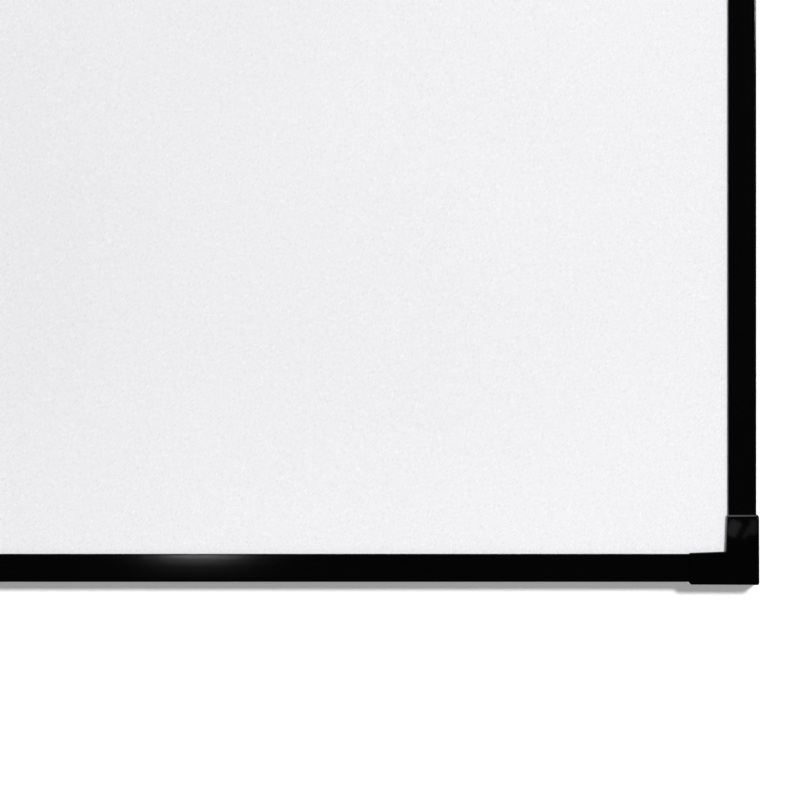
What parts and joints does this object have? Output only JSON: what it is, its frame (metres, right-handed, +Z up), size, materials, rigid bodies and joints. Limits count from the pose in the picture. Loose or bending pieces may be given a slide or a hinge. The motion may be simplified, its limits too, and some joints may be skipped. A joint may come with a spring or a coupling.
{
  "type": "fixed frame projector screen",
  "caption": "Wall-mounted fixed frame projector screen: thin gloss-black frame with moulded corner caps and a white fabric stretched inside by rods and spring clips.",
  "frame": {"origin": "middle of the box round the whole screen, which is also the middle of the picture in width and height", "axes": "+Z up, the picture faces -Y, the wall is at +Y, and +X is to the right of someone who looks at the picture"},
  "size_m": [1.9042, 0.0352, 1.0902],
  "materials": {
    "frame_coat": "gloss black coat on extruded aluminium",
    "corner_plastic": "polished black moulding",
    "screen_cloth": "matt white projection face with a fine diagonal grain, dark backing",
    "zinc_steel": "zinc plated, satin",
    "rod_fibre": "drawn glass fibre, satin",
    "bar_aluminium": "mill finish, drawn lines",
    "foot_plastic": "matt black moulding",
    "hanger_coat": "satin black powder coat on steel"
  },
  "bodies": {
    "root": {"top_rail": "frame_coat", "right_rail": "frame_coat", "bottom_rail": "frame_coat", "left_rail": "frame_coat", "corner_cap_bottom_left": "corner_plastic", "corner_cap_top_left": "corner_plastic", "corner_cap_top_right": "corner_plastic", "corner_cap_bottom_right": "corner_plastic", "corner_key_bottom_left": "zinc_steel", "corner_key_top_left": "zinc_steel", "corner_key_top_right": "zinc_steel", "corner_key_bottom_right": "zinc_steel", "corner_screw_bottom_left_1": "zinc_steel", "corner_screw_bottom_left_2": "zinc_steel", "corner_screw_top_left_1": "zinc_steel", "corner_screw_top_left_2": "zinc_steel", "corner_screw_top_right_1": "zinc_steel", "corner_screw_top_right_2": "zinc_steel", "corner_screw_bottom_right_1": "zinc_steel", "corner_screw_bottom_right_2": "zinc_steel", "screen_fabric": "screen_cloth", "tension_rod_top": "rod_fibre", "tension_rod_right": "rod_fibre", "tension_rod_bottom": "rod_fibre", "tension_rod_left": "rod_fibre", "tension_clip_top_1": "zinc_steel", "tension_clip_top_2": "zinc_steel", "tension_clip_top_3": "zinc_steel", "tension_clip_top_4": "zinc_steel", "tension_clip_top_5": "zinc_steel", "tension_clip_top_6": "zinc_steel", "tension_clip_top_7": "zinc_steel", "tension_clip_top_8": "zinc_steel", "tension_clip_right_1": "zinc_steel", "tension_clip_right_2": "zinc_steel", "tension_clip_right_3": "zinc_steel", "tension_clip_right_4": "zinc_steel", "tension_clip_right_5": "zinc_steel", "tension_clip_bottom_1": "zinc_steel", "tension_clip_bottom_2": "zinc_steel", "tension_clip_bottom_3": "zinc_steel", "tension_clip_bottom_4": "zinc_steel", "tension_clip_bottom_5": "zinc_steel", "tension_clip_bottom_6": "zinc_steel", "tension_clip_bottom_7": "zinc_steel", "tension_clip_bottom_8": "zinc_steel", "tension_clip_left_1": "zinc_steel", "tension_clip_left_2": "zinc_steel", "tension_clip_left_3": "zinc_steel", "tension_clip_left_4": "zinc_steel", "tension_clip_left_5": "zinc_steel", "support_bar": "bar_aluminium", "support_foot_top": "foot_plastic", "support_foot_bottom": "foot_plastic", "wall_hanger_top_left": "hanger_coat", "wall_hanger_top_right": "hanger_coat", "wall_hanger_bottom_left": "hanger_coat", "wall_hanger_bottom_right": "hanger_coat"}
  },
  "joints": []
}
